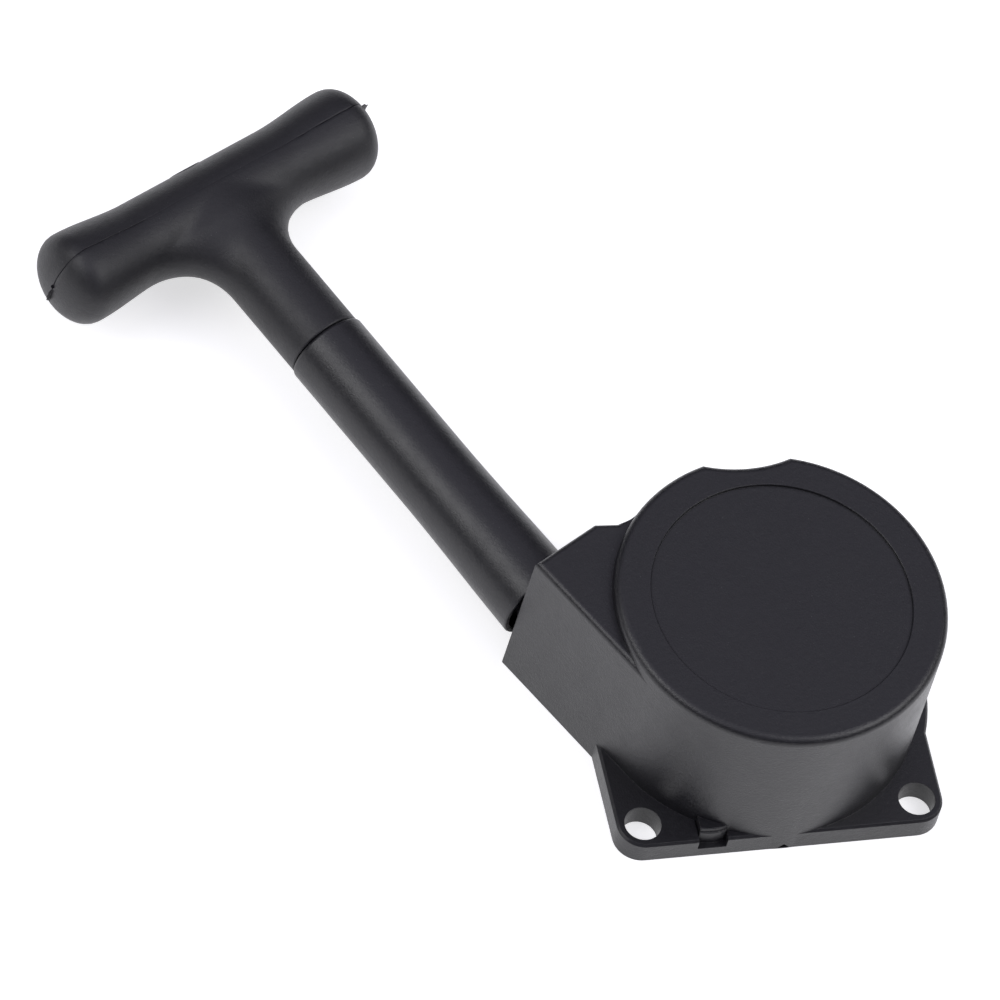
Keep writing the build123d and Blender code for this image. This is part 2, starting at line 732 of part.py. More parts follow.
def spring_cover():
    """The plate under the cassette, with three ears for its screws."""
    plan = Circle(CASSETTE_R)
    for angle in SCREW_ANGLES:
        plan += Pos(*polar(SCREW_RING_R, angle)) * Circle(CASE_BOSS_R)
        plan += Rot(0, 0, angle) * (Pos(SCREW_RING_R - 3, 0) * Rectangle(6, 2 * CASE_BOSS_R))
    plan -= Circle(COVER_BORE_R)
    for angle in SCREW_ANGLES:
        plan -= Pos(*polar(SCREW_RING_R, angle)) * Circle(SCREW_R + RUNNING)
    return Pos(0, 0, COVER_Z[0]) * extrude(plan, COVER_Z[1] - COVER_Z[0])


def cassette_screws():
    """Three small screws through the cover's ears."""
    screws = []
    for angle in SCREW_ANGLES:
        x, y = polar(SCREW_RING_R, angle)
        head = Pos(x, y, COVER_Z[0] - SCREW_HEAD_H) * extrude(Circle(SCREW_HEAD_R), SCREW_HEAD_H)
        shank = Pos(x, y, COVER_Z[0] - EMBED) * extrude(Circle(SCREW_R), SCREW_LENGTH)
        screws.append(head + shank)
    return screws


def spiral_point(r_shift, share):
    """A point on the spring's spiral, share 0 at its inner end and 1 at its outer end."""
    r = SPRING_R[0] + (SPRING_R[1] - SPRING_R[0]) * share + r_shift
    angle = 360 * (SPRING_TURNS + 0.5) * share
    return polar(r, angle)


def rewind_spring():
    """The flat spiral spring, hooked into the reel's hub and the cassette's wall."""
    count = int((SPRING_TURNS + 0.5) * SPIRAL_STEPS)
    half = SPRING_T / 2
    outer = Spline(*[spiral_point(half, i / count) for i in range(count + 1)])
    inner = Spline(*[spiral_point(-half, i / count) for i in range(count + 1)])
    ends = [Line(inner @ 0, outer @ 0), Line(inner @ 1, outer @ 1)]
    strip = make_face(Curve() + [outer, inner] + ends)
    hook = Pos(SPRING_R[0] - HOOK_SHIFT, 0) * Rectangle(*HOOK_SIZE)
    anchor = Pos(-SPRING_R[1] - HOOK_SHIFT, 0) * Rectangle(*ANCHOR_SIZE)
    return Pos(0, 0, SPRING_Z[0]) * extrude(strip + hook + anchor, SPRING_Z[1] - SPRING_Z[0])


def build():
    """Writes every node."""
    os.makedirs("parts", exist_ok=True)
    write("starter_case", starter_case())
    write("threaded_insert", threaded_insert())
    write("reel_screw", reel_screw())
    write("reel_washer", reel_washer())
    write("rope_guide_tube", rope_guide_tube())
    write("outlet_grommet", outlet_grommet())
    write("tube_ferrule", tube_ferrule())
    write("rope_eyelet", rope_eyelet())
    write("spring_cassette", spring_cassette())
    write("spring_cover", spring_cover())
    write("cassette_screws", *cassette_screws())
    write("rewind_spring", rewind_spring())
    write("rope_reel", rope_reel())
    write("rope_coil", *rope_coil())
    write("reel_knot", reel_knot())
    write("pawl_pins", *pawl_pins())
    places = pawl_places()
    write("pawl_a", pawl(places[0]))
    write("pawl_b", pawl(places[1]))
    write("friction_plate", friction_plate())
    write("friction_spring", friction_spring())
    write("grip_handle", grip_handle())
    write("grip_knot", grip_knot())
    write("knot_washer", knot_washer())
    write("grip_plug", grip_plug())
    write("starter_rope", starter_rope())


build()
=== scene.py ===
import json
import math

import bmesh
import bpy
import numpy as np
from mathutils import Matrix, Vector
from mathutils import noise as mnoise


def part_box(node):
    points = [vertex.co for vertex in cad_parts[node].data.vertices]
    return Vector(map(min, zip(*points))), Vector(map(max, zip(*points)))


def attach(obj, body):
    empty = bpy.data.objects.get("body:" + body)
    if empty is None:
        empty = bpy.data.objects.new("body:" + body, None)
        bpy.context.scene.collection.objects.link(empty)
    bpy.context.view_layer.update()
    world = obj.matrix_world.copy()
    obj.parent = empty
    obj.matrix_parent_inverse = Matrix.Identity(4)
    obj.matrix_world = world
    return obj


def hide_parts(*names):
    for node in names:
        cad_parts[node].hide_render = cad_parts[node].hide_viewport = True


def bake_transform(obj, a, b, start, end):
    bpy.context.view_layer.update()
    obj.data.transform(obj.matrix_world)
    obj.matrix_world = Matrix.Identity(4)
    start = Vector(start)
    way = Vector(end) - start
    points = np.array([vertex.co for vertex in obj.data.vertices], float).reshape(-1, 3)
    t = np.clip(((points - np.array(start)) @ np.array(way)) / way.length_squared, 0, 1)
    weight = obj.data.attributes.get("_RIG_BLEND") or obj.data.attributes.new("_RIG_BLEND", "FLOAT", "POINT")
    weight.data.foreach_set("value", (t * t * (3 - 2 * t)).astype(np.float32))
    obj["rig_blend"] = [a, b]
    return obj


MM = 0.001

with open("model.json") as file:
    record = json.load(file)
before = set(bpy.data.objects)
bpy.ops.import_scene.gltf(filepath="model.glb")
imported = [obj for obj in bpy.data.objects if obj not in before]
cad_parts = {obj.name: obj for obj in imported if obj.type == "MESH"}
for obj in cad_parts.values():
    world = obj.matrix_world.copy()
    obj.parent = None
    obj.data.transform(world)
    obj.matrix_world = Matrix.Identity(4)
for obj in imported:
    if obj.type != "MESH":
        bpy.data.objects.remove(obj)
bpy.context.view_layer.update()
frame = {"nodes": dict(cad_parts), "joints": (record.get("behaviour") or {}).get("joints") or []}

# ---------------------------------------------------------------- the rope line, from the frame

PULL = next(j for j in frame["joints"] if j["name"] == "grip_pull")
ALONG = Vector(PULL["axis"]).normalized()
UP = Vector((0, 0, 1))
ACROSS = UP.cross(ALONG)
WASHER_LOW, WASHER_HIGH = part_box("knot_washer")
WASHER = (WASHER_LOW + WASHER_HIGH) / 2
BESIDE_REEL = WASHER - ALONG * WASHER.dot(ALONG)
ROPE_LOW, ROPE_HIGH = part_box("starter_rope")
ROPE_R = (ROPE_HIGH.z - ROPE_LOW.z) / 2
COIL_LOW, COIL_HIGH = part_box("rope_coil")
OUTER_TURN_R = (COIL_HIGH.x - COIL_LOW.x) / 2 - ROPE_R

# The rope leaves the outer turn at its foot, bends in the eyelet and follows the line to the grip
BEND_S = 22 * MM
BEND = BESIDE_REEL + ALONG * BEND_S
FOOT_ANGLE = math.atan2(BEND.y, BEND.x) + math.acos(OUTER_TURN_R / BEND.xy.length)

# Between these two places on the line the rope stretches when the grip is pulled
STRETCH_S = (32 * MM, 140 * MM)

# The T grip, in its own frame: x along the bar, y along the rope line, z the third way
BAR_PAST_WASHER = 1.7 * MM
T_CENTRE = WASHER + ALONG * BAR_PAST_WASHER
GRIP_TURN = math.radians(3.1)
NECK_END = 39.95 * MM
NECK_R = 8.37 * MM
BAR_END_R = 10.15 * MM
BAR_WAIST_R = 8.9 * MM
BAR_HALF = 41.65 * MM
BAR_WAIST_X = 18.3 * MM
BAR_CAP = 6.3 * MM
CAP_POWER = 2.15
CROTCH = 15 * MM
CREST_BLEND = 5 * MM
CREST_FADE = 7 * MM
NECK_ROUND = 0.4 * MM
BORE_R = 1.9 * MM
POCKET_R = 4.6 * MM
POCKET_Y = -2.2 * MM

# The parting line: a groove that is faint in the middle of the bar and full near its ends
PARTING_Y = 0.3 * MM
PARTING_TILT = 0.0055
PARTING_HALF = 0.2 * MM
PARTING_DEPTH = 0.12 * MM
PARTING_FAINT = 0.25
PARTING_FAINT_X = 14 * MM
PARTING_FULL_X = 28 * MM
PARTING_WANDER = 0.14 * MM

# Flash on the bar's ends: the end's side, the fin's lowest and highest point, and how far it stands out
FINS = ((1, 0.4 * MM, 4.6 * MM, 0.9 * MM), (-1, -7.8 * MM, -4.6 * MM, 1.2 * MM))
FIN_STEP = 0.25 * MM
FIN_ROOT = 0.4 * MM
FIN_HALF = 0.09 * MM
STUB_R = 0.4 * MM
STUB_Z = -0.6 * MM


def line_point(s):
    """The point on the rope line, s metres from the place beside the reel's axis."""
    return BESIDE_REEL + ALONG * s


# ---------------------------------------------------------------- node helpers

def add(tree, kind, inputs=None, **settings):
    """Adds a node. An input may be a value or another node's socket."""
    node = tree.nodes.new(kind)
    for key, value in settings.items():
        setattr(node, key, value)
    for key, value in (inputs or {}).items():
        if isinstance(value, bpy.types.NodeSocket):
            tree.links.new(value, node.inputs[key])
        else:
            node.inputs[key].default_value = value
    return node


def new_material(name):
    """An empty node material with its output, and the object coordinates."""
    material = bpy.data.materials.new(name)
    material.use_nodes = True
    tree = material.node_tree
    tree.nodes.clear()
    output = add(tree, "ShaderNodeOutputMaterial")
    place = add(tree, "ShaderNodeTexCoord").outputs["Object"]
    return material, tree, output, place


def noise(tree, place, size, detail, roughness=0.5):
    """Noise whose features are about size metres wide."""
    inputs = {"Vector": place, "Scale": 1 / size, "Detail": detail, "Roughness": roughness}
    return add(tree, "ShaderNodeTexNoise", inputs).outputs["Fac"]


def cells(tree, place, size):
    """The distance to the nearest of scattered points about size metres apart, as a share of size."""
    return add(tree, "ShaderNodeTexVoronoi", {"Vector": place, "Scale": 1 / size}).outputs["Distance"]


def ramp(tree, value, low, high, out_low, out_high):
    """A clamped map from one range to another."""
    inputs = {"Value": value, "From Min": low, "From Max": high, "To Min": out_low, "To Max": out_high}
    return add(tree, "ShaderNodeMapRange", inputs).outputs["Result"]


def mix(tree, factor, first, second):
    """A mix of two colours."""
    node = add(tree, "ShaderNodeMix", data_type="RGBA")
    for key, value in ((0, factor), (6, first), (7, second)):
        if isinstance(value, bpy.types.NodeSocket):
            tree.links.new(value, node.inputs[key])
        else:
            node.inputs[key].default_value = value
    return node.outputs[2]


def plus(tree, first, second):
    """The sum of two values."""
    return add(tree, "ShaderNodeMath", {0: first, 1: second}, operation="ADD").outputs[0]


def scaled(tree, vector, factors):
    """A vector with each coordinate multiplied by its own factor."""
    return add(tree, "ShaderNodeVectorMath", {0: vector, 1: factors}, operation="MULTIPLY").outputs[0]


def softened(tree, radius):
    """The normal, with the edges rounded to a radius."""
    return add(tree, "ShaderNodeBevel", {"Radius": radius}, samples=4).outputs[0]


def bumped(tree, height, strength, depth, normal=None, invert=False):
    """The normal, or a given one, tilted by a height that is depth metres deep."""
    inputs = {"Strength": strength, "Distance": depth, "Height": height}
    if normal is not None:
        inputs["Normal"] = normal
    return add(tree, "ShaderNodeBump", inputs, invert=invert).outputs[0]


def shade_with(tree, output, inputs):
    """Shades a material with one Principled shader."""
    shader = add(tree, "ShaderNodeBsdfPrincipled", inputs)
    tree.links.new(shader.outputs[0], output.inputs[0])


def shade(colour, gain):
    """An RGBA colour, lighter or darker."""
    return (*(min(1.0, c * gain) for c in colour), 1.0)


# ---------------------------------------------------------------- materials

DRIFT_SIZE = 45 * MM
CLOUD_SIZE = 5 * MM
MOTTLE_SIZE = 1.1 * MM
MOTTLE_DEPTH = 0.06 * MM
GRAIN_SIZE = 0.4 * MM
GRAIN_DEPTH = 0.07 * MM
PIT_SPACING = 4 * MM
PIT_DEPTH = 0.05 * MM
SPECK_SPACING = 2.3 * MM
SPECK_COLOUR = (0.16, 0.16, 0.17)
DIRT_COLOUR = (0.2, 0.19, 0.18)


def moulded_plastic(name, colour, roughness, grain, edge=0.2 * MM, line=None):
    """Moulded plastic: fine grain, drifting sheen, pits with painted shade in them, specks, and edges
    painted lighter as a painted highlight.

    A line names the mesh attribute that takes the reflection away where it is marked: painted shade in the
    parting groove, and a darker tone on the flash and its stub.
    """
    material, tree, output, place = new_material(name)
    drift = noise(tree, place, DRIFT_SIZE, 3)
    cloud = noise(tree, place, CLOUD_SIZE, 4, 0.65)
    fine = noise(tree, place, GRAIN_SIZE, 3, 0.7)
    mottle = noise(tree, place, MOTTLE_SIZE, 4, 0.65)
    base = mix(tree, drift, shade(colour, 0.9), shade(colour, 1.1))
    base = mix(tree, ramp(tree, mottle, 0.4, 0.75, 0.0, 0.5), base, shade(colour, 1.5))
    rough = plus(tree, ramp(tree, cloud, 0.3, 0.7, -0.03, 0.04), roughness)
    rough = plus(tree, ramp(tree, mottle, 0.3, 0.7, -0.03, 0.03), rough)
    soft = softened(tree, edge)
    normal = bumped(tree, mottle, grain, MOTTLE_DEPTH, soft)
    normal = bumped(tree, fine, grain, GRAIN_DEPTH, normal)
    pit_dent_and_shade = ramp(tree, cells(tree, scaled(tree, place, (1.0, 1.3, 0.8)), PIT_SPACING), 0.03, 0.06, 1.0, 0.0)
    speck = ramp(tree, cells(tree, place, SPECK_SPACING), 0.03, 0.05, 1.0, 0.0)
    base = mix(tree, ramp(tree, speck, 0.0, 1.0, 0.0, 0.25), base, shade(SPECK_COLOUR, 1.0))
    # Painted shade: the pits are painted darker, besides being dented by the bump below.
    base = mix(tree, ramp(tree, pit_dent_and_shade, 0.0, 1.0, 0.0, 0.6), base, shade(colour, 0.5))
    normal = bumped(tree, pit_dent_and_shade, 0.5, PIT_DEPTH, normal, invert=True)
    # Painted highlight: where the rounded normal turns away from the true one, at edges, the colour is
    # painted lighter.
    geometry = add(tree, "ShaderNodeNewGeometry").outputs["Normal"]
    inputs = {0: geometry, 1: soft}
    bend = add(tree, "ShaderNodeVectorMath", inputs, operation="DOT_PRODUCT").outputs["Value"]
    base = mix(tree, ramp(tree, bend, 0.98, 0.8, 0.0, 0.3), base, shade(colour, 2.0))
    inputs = {"Base Color": base, "Roughness": rough, "Normal": normal, "IOR": 1.5}
    if line:
        # Painted shade: the marked parting groove loses its reflection and so looks dark; the flash and stub
        # are darkened the same way.
        groove_shade_and_flash_tone = add(tree, "ShaderNodeAttribute", attribute_name=line).outputs["Fac"]
        inputs["Specular IOR Level"] = ramp(tree, groove_shade_and_flash_tone, 0.0, 1.0, 0.5, 0.0)
    shade_with(tree, output, inputs)
    return material


def metal(name, colour, roughness, streak=(1, 1, 12), edge=0.15 * MM):
    """Plated or bare metal: streaked sheen, faint stains and softened edges."""
    material, tree, output, place = new_material(name)
    streaks = noise(tree, scaled(tree, place, streak), 0.6 * MM, 3, 0.6)
    stain = noise(tree, place, 3 * MM, 4, 0.6)
    base = mix(tree, ramp(tree, stain, 0.4, 0.75, 0.0, 0.5), shade(colour, 1.0), shade(colour, 0.62))
    rough = plus(tree, ramp(tree, streaks, 0.3, 0.7, -0.07, 0.09), roughness)
    normal = bumped(tree, streaks, 0.25, 0.02 * MM, softened(tree, edge))
    shade_with(tree, output, {"Base Color": base, "Metallic": 1.0, "Roughness": rough, "Normal": normal})
    return material


def rubber(name, colour):
    """Soft dull rubber with a dusty bloom."""
    material, tree, output, place = new_material(name)
    bloom = noise(tree, place, 1.2 * MM, 4, 0.65)
    base = mix(tree, ramp(tree, bloom, 0.4, 0.7, 0.0, 0.6), shade(colour, 1.0), shade(colour, 1.9))
    normal = bumped(tree, bloom, 0.4, 0.05 * MM)
    shade_with(tree, output, {"Base Color": base, "Roughness": 0.7, "Normal": normal})
    return material


def braid(name, colour):
    """Braided cord: fine fibres, a little dirt, and a sheen at its edges."""
    material, tree, output, place = new_material(name)
    fibre = noise(tree, place, 0.12 * MM, 3, 0.7)
    dirt = noise(tree, place, 5 * MM, 4, 0.6)
    base = mix(tree, ramp(tree, fibre, 0.3, 0.7, 0.0, 1.0), shade(colour, 0.72), shade(colour, 1.08))
    base = mix(tree, ramp(tree, dirt, 0.5, 0.75, 0.0, 0.5), base, shade(DIRT_COLOUR, 1.0))
    normal = bumped(tree, fibre, 0.5, 0.05 * MM)
    shade_with(tree, output, {"Base Color": base, "Roughness": 0.8, "Sheen Weight": 0.4, "Normal": normal})
    return material


BLACK = (0.0085, 0.0083, 0.0104)
case_plastic = moulded_plastic("case_plastic_look", BLACK, 0.34, 1.0)
tube_plastic = moulded_plastic("tube_plastic_look", BLACK, 0.36, 0.8)
grip_plastic = moulded_plastic("grip_plastic_look", BLACK, 0.46, 1.0, line="parting")
plug_plastic = moulded_plastic("plug_plastic_look", BLACK, 0.42, 1.0)
white_nylon = moulded_plastic("white_nylon_look", (0.62, 0.6, 0.55), 0.45, 0.2)
grey_plastic = moulded_plastic("grey_plastic_look", (0.06, 0.06, 0.065), 0.45, 0.25)
pawl_nylon = moulded_plastic("pawl_nylon_look", (0.03, 0.03, 0.033), 0.4, 0.25)
zinc = metal("zinc_look", (0.62, 0.63, 0.66), 0.3)
ground_steel = metal("ground_steel_look", (0.55, 0.55, 0.57), 0.22)
plate_steel = metal("plate_steel_look", (0.5, 0.5, 0.52), 0.35, streak=(1, 14, 1))
blue_steel = metal("blue_steel_look", (0.12, 0.13, 0.17), 0.3)
brass = metal("brass_look", (0.72, 0.52, 0.22), 0.28)
black_rubber = rubber("black_rubber_look", (0.012, 0.012, 0.012))
cord = braid("cord_look", (0.6, 0.6, 0.58))

LOOKS = {
    "starter_case": case_plastic,
    "rope_guide_tube": tube_plastic,
    "outlet_grommet": black_rubber,
    "tube_ferrule": ground_steel,
    "rope_eyelet": ground_steel,
    "threaded_insert": brass,
    "reel_screw": zinc,
    "reel_washer": zinc,
    "cassette_screws": zinc,
    "spring_cassette": grey_plastic,
    "spring_cover": grey_plastic,
    "rewind_spring": blue_steel,
    "rope_reel": white_nylon,
    "rope_coil": cord,
    "reel_knot": cord,
    "pawl_pins": ground_steel,
    "pawl_a": pawl_nylon,
    "pawl_b": pawl_nylon,
    "friction_plate": plate_steel,
    "friction_spring": blue_steel,
    "grip_knot": cord,
    "knot_washer": zinc,
    "grip_plug": plug_plastic,
}


def dress_cad_nodes():
    """Gives every CAD node that stays its material."""
    for node, look in LOOKS.items():
        slots = frame["nodes"][node].data.materials
        slots.clear()
        slots.append(look)


# ---------------------------------------------------------------- mesh helpers

def new_object(name, mesh, look):
    """A smooth-shaded object with one material."""
    piece = bpy.data.objects.new(name, mesh)
    bpy.context.scene.collection.objects.link(piece)
    mesh.materials.clear()
    mesh.materials.append(look)
    for polygon in mesh.polygons:
        polygon.use_smooth = True
    return piece


def smooth(piece, angle):
    """Smooth shading, with the edges above an angle in degrees kept sharp."""
    for polygon in piece.data.polygons:
        polygon.use_smooth = True
    piece.data.set_sharp_from_angle(angle=math.radians(angle))


def applied(piece):
    """Applies a piece's modifiers and returns its new mesh."""
    graph = bpy.context.evaluated_depsgraph_get()
    mesh = bpy.data.meshes.new_from_object(piece.evaluated_get(graph))
    piece.modifiers.clear()
    piece.data = mesh
    return mesh


# ---------------------------------------------------------------- the T grip

def grip_matrix():
    """From the grip's own frame to the row frame."""
    bar = Matrix.Rotation(GRIP_TURN, 3, ALONG) @ ACROSS
    third = bar.cross(ALONG)
    turn = Matrix((bar, ALONG, third)).transposed().to_4x4()
    return Matrix.Translation(T_CENTRE) @ turn


def bar_radius(x):
    """The bar's radius along its length: a gentle waist on each side of the middle."""
    t = np.clip((x - BAR_WAIST_X) / (BAR_HALF - BAR_CAP - BAR_WAIST_X), 0, 1)
    return BAR_WAIST_R + (BAR_END_R - BAR_WAIST_R) * t * t * (3 - 2 * t)


def bar_field(p):
    """About the distance to the bar's surface: a turned bar with rounded square ends."""
    x = np.abs(p[:, 0])
    rho = np.hypot(p[:, 1], p[:, 2])
    over = np.maximum(x - (BAR_HALF - BAR_CAP), 0) / BAR_CAP
    share = rho / bar_radius(x)
    return ((over**CAP_POWER + share**CAP_POWER) ** (1 / CAP_POWER) - 1) * BAR_END_R


def grip_field(p):
    """The grip's surface is where this is zero.

    It is a bar and a neck, blended wide in the crotches and close above and below.
    """
    bar = bar_field(p)
    neck = np.maximum(np.hypot(p[:, 0], p[:, 2]) - NECK_R, p[:, 1])
    reach = np.clip(np.abs(p[:, 2]) / BAR_WAIST_R, 0, 1)
    fade = np.clip(-p[:, 1] / CREST_FADE, 0.1, 1)
    width = (CROTCH + (CREST_BLEND - CROTCH) * reach**2) * fade
    h = np.clip(width - np.abs(bar - neck), 0, None) / width
    return np.minimum(bar, neck) - h * h * width / 4


def settle(points, rounds):
    """Moves points onto the grip's surface, by Newton's method with a slope that is kept off zero."""
    step = 0.02 * MM
    least_slope = 0.2
    for _ in range(rounds):
        value = grip_field(points)
        slope = np.zeros_like(points)
        for axis in range(3):
            moved = points.copy()
            moved[:, axis] += step
            slope[:, axis] = (grip_field(moved) - value) / step
        points = points - slope * (value / np.maximum((slope**2).sum(1), least_slope))[:, None]
    return points


def add_cylinder(bm, segments, radius, depth, matrix):
    """Adds a closed cylinder, which lies along z before the matrix moves it."""
    bmesh.ops.create_cone(
        bm, cap_ends=True, segments=segments, radius1=radius, radius2=radius, depth=depth, matrix=matrix
    )


def scaffold():
    """A rough T of overlapping solids, remeshed to even quads."""
    bm = bmesh.new()
    sideways = Matrix.Rotation(math.radians(90), 4, "Y")
    upright = Matrix.Rotation(math.radians(90), 4, "X")
    length = 2 * (BAR_HALF - BAR_CAP / 2)
    add_cylinder(bm, 32, BAR_WAIST_R, length, sideways)
    neck_length = NECK_END + 4 * MM
    shift = Matrix.Translation((0, -neck_length / 2, 0))
    add_cylinder(bm, 32, NECK_R, neck_length, shift @ upright)
    mesh = bpy.data.meshes.new("grip_scaffold")
    bm.to_mesh(mesh)
    bm.free()
    rough = bpy.data.objects.new("grip_scaffold", mesh)
    bpy.context.scene.collection.objects.link(rough)
    remesh = rough.modifiers.new("even", "REMESH")
    remesh.mode = "VOXEL"
    remesh.voxel_size = 1.0 * MM
    mesh = applied(rough)
    bpy.data.objects.remove(rough)
    return mesh


def relax(bm, times):
    """Evens the vertices along the surface, then puts them back on it."""
    for _ in range(times):
        bmesh.ops.smooth_vert(
            bm, verts=bm.verts, factor=0.5, use_axis_x=True, use_axis_y=True, use_axis_z=True
        )
        points = settle(np.array([v.co for v in bm.verts]), 2)
        for vertex, point in zip(bm.verts, points):
            vertex.co = point


def off_parting(p):
    """How far a point is from the mould's parting plane, which runs a little askew along the bar."""
    return p.y - PARTING_Y - PARTING_TILT * p.x


def add_parting_line(bm):
    """The mould's parting line round the bar: a fine, slightly wandering groove, marked for painted shade,
    which takes its reflection away.
    """
    dark = bm.verts.layers.float.new("parting")
    for shift in (-PARTING_HALF, 0, PARTING_HALF):
        parts = bm.verts[:] + bm.edges[:] + bm.faces[:]
        place = (0, PARTING_Y + shift, 0)
        bmesh.ops.bisect_plane(bm, geom=parts, dist=1e-7, plane_co=place, plane_no=(-PARTING_TILT, 1, 0))
    bm.normal_update()
    for vertex in bm.verts:
        p = vertex.co.copy()
        if abs(off_parting(p)) < 1e-6:
            reach = (abs(p.x) - PARTING_FAINT_X) / (PARTING_FULL_X - PARTING_FAINT_X)
            share = PARTING_FAINT + (1 - PARTING_FAINT) * max(0.0, min(1.0, reach))
            depth = share * (1 + 0.7 * mnoise.noise(p / (2.5 * MM)))
            # Marks the groove for painted shade in the material.
            vertex[dark] = max(0.0, depth)
            vertex.co -= vertex.normal * depth * PARTING_DEPTH
        if abs(off_parting(p)) < 2 * PARTING_HALF:
            vertex.co.y += PARTING_WANDER * mnoise.noise(Vector((p.x, 0, p.z)) / (4 * MM))


def cap_point(side, z):
    """The point of the parting line at a height z on one of the bar's ends."""
    share = math.hypot(PARTING_Y, z) / BAR_END_R
    over = (1 - share**CAP_POWER) ** (1 / CAP_POWER)
    x = side * (BAR_HALF - BAR_CAP + BAR_CAP * over)
    return Vector((x, PARTING_Y + PARTING_TILT * x, z))


def add_flash(bm, side, low, high, height):
    """A ragged fin of flash that stands on the parting line at one of the bar's ends."""
    dark = bm.verts.layers.float["parting"]
    steps = round((high - low) / FIN_STEP)
    rows = []
    for step in range(steps + 1):
        z = low + (high - low) * step / steps
        root = cap_point(side, z)
        out = Vector((side * BAR_END_R / 2, 0, z)).normalized()
        swell = max(0.0, math.sin(math.pi * step / steps)) ** 0.5
        ragged = 0.85 + 0.6 * mnoise.noise(root / (0.5 * MM))
        tip = root + out * height * swell * ragged
        buried = root - out * FIN_ROOT
        thick = Vector((0, FIN_HALF, 0))
        corners = [buried - thick, buried + thick, tip + thick * 0.4, tip - thick * 0.4]
        rows.append([bm.verts.new(corner) for corner in corners])
        for vertex in rows[-1]:
            vertex[dark] = 0.25 + 0.7 * mnoise.noise(vertex.co / (0.3 * MM))
    for first, second in zip(rows, rows[1:]):
        for corner in range(4):
            after = (corner + 1) % 4
            bm.faces.new((first[corner], first[after], second[after], second[corner]))
    bm.faces.new(reversed(rows[0]))
    bm.faces.new(rows[-1])


def add_all_flash(grip):
    """The scraps of flash on the two ends of the bar, and the dark stub beside one of them."""
    bm = bmesh.new()
    bm.from_mesh(grip.data)
    for side, low, high, height in FINS:
        add_flash(bm, side, low, high, height)
    stub = bmesh.ops.create_icosphere(bm, subdivisions=2, radius=STUB_R)["verts"]
    dark = bm.verts.layers.float["parting"]
    place = cap_point(1, STUB_Z)
    for vertex in stub:
        vertex.co += place
        vertex[dark] = 1.0
    bmesh.ops.recalc_face_normals(bm, faces=bm.faces)
    bm.to_mesh(grip.data)
    bm.free()


def close_neck(bm):
    """Cuts the neck to length and closes it with a rounded rim."""
    parts = bm.verts[:] + bm.edges[:] + bm.faces[:]
    place = (0, NECK_ROUND - NECK_END, 0)
    bmesh.ops.bisect_plane(bm, geom=parts, dist=1e-7, plane_co=place, plane_no=(0, -1, 0), clear_outer=True)
    rim = [e for e in bm.edges if e.is_boundary]
    for inset, y in ((0.3 * NECK_ROUND, 0.3 * NECK_ROUND - NECK_END), (NECK_ROUND, -NECK_END)):
        made = bmesh.ops.extrude_edge_only(bm, edges=rim)["geom"]
        for vertex in (v for v in made if isinstance(v, bmesh.types.BMVert)):
            scale = (NECK_R - inset) / math.hypot(vertex.co.x, vertex.co.z)
            vertex.co = (vertex.co.x * scale, y, vertex.co.z * scale)
        rim = [e for e in made if isinstance(e, bmesh.types.BMEdge) and e.is_boundary]
    bmesh.ops.holes_fill(bm, edges=rim)
    bmesh.ops.recalc_face_normals(bm, faces=bm.faces)


def cutter(radius, y0, y1):
    """A cylinder along y that cuts a hole in the grip."""
    bm = bmesh.new()
    turn = Matrix.Rotation(math.radians(90), 4, "X")
    shift = Matrix.Translation((0, (y0 + y1) / 2, 0))
    add_cylinder(bm, 48, radius, y1 - y0, shift @ turn)
    mesh = bpy.data.meshes.new("cutter")
    bm.to_mesh(mesh)
    bm.free()
    piece = bpy.data.objects.new("cutter", mesh)
    bpy.context.scene.collection.objects.link(piece)
    return piece


def bore_grip(grip):
    """Cuts the rope's bore and the knot's pocket."""
    cutters = [cutter(BORE_R, -NECK_END - MM, POCKET_Y + MM), cutter(POCKET_R, POCKET_Y, 2 * BAR_END_R)]
    for piece in cutters:
        hole = grip.modifiers.new("hole", "BOOLEAN")
        hole.operation = "DIFFERENCE"
        hole.solver = "EXACT"
        hole.object = piece
    applied(grip)
    for piece in cutters:
        bpy.data.objects.remove(piece)


def build_grip():
    """The moulded T grip."""
    mesh = scaffold()
    bm = bmesh.new()
    bm.from_mesh(mesh)
    relax(bm, 8)
    close_neck(bm)
    add_parting_line(bm)
    bm.to_mesh(mesh)
    bm.free()
    grip = new_object("t_grip", mesh, grip_plastic)
    bore_grip(grip)
    add_all_flash(grip)
    smooth(grip, 50)
    grip.data.transform(grip_matrix())
    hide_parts("grip_handle")
    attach(grip, "grip")


# ---------------------------------------------------------------- the rope

ROPE_STEP = 0.65 * MM
ROPE_SIDES = 36
STRANDS = 8
BRAID_PITCH = 13 * MM
BRAID_DEPTH = 0.12
BEND_SOFT = 1.4 * MM
ROPE_PAST_WASHER = 0.3 * MM


def stretch_share(s):
    """How far a point of the rope goes with the grip: 0 stays in the case, 1 goes all the way."""
    low, high = STRETCH_S
    share = max(0.0, min(1.0, (s - low) / (high - low)))
    return share * share * (3 - 2 * share)


def rope_stations():
    """The rope's foot on the reel, the places of its rings on the rope line, and the length to each ring.

    The rings are evenly spaced when the grip is fully pulled.
    """
    pull = PULL["range_m"][1]
    foot = Vector((OUTER_TURN_R * math.cos(FOOT_ANGLE), OUTER_TURN_R * math.sin(FOOT_ANGLE), WASHER.z))
    start = BEND_S - (foot - BEND).length
    end = WASHER.dot(ALONG) + ROPE_PAST_WASHER
    fine = np.linspace(start, end, 4000)
    length = np.array([s + pull * stretch_share(s) for s in fine])
    even = np.arange(length[0], length[-1], ROPE_STEP)
    return foot, np.interp(even, length, fine), even


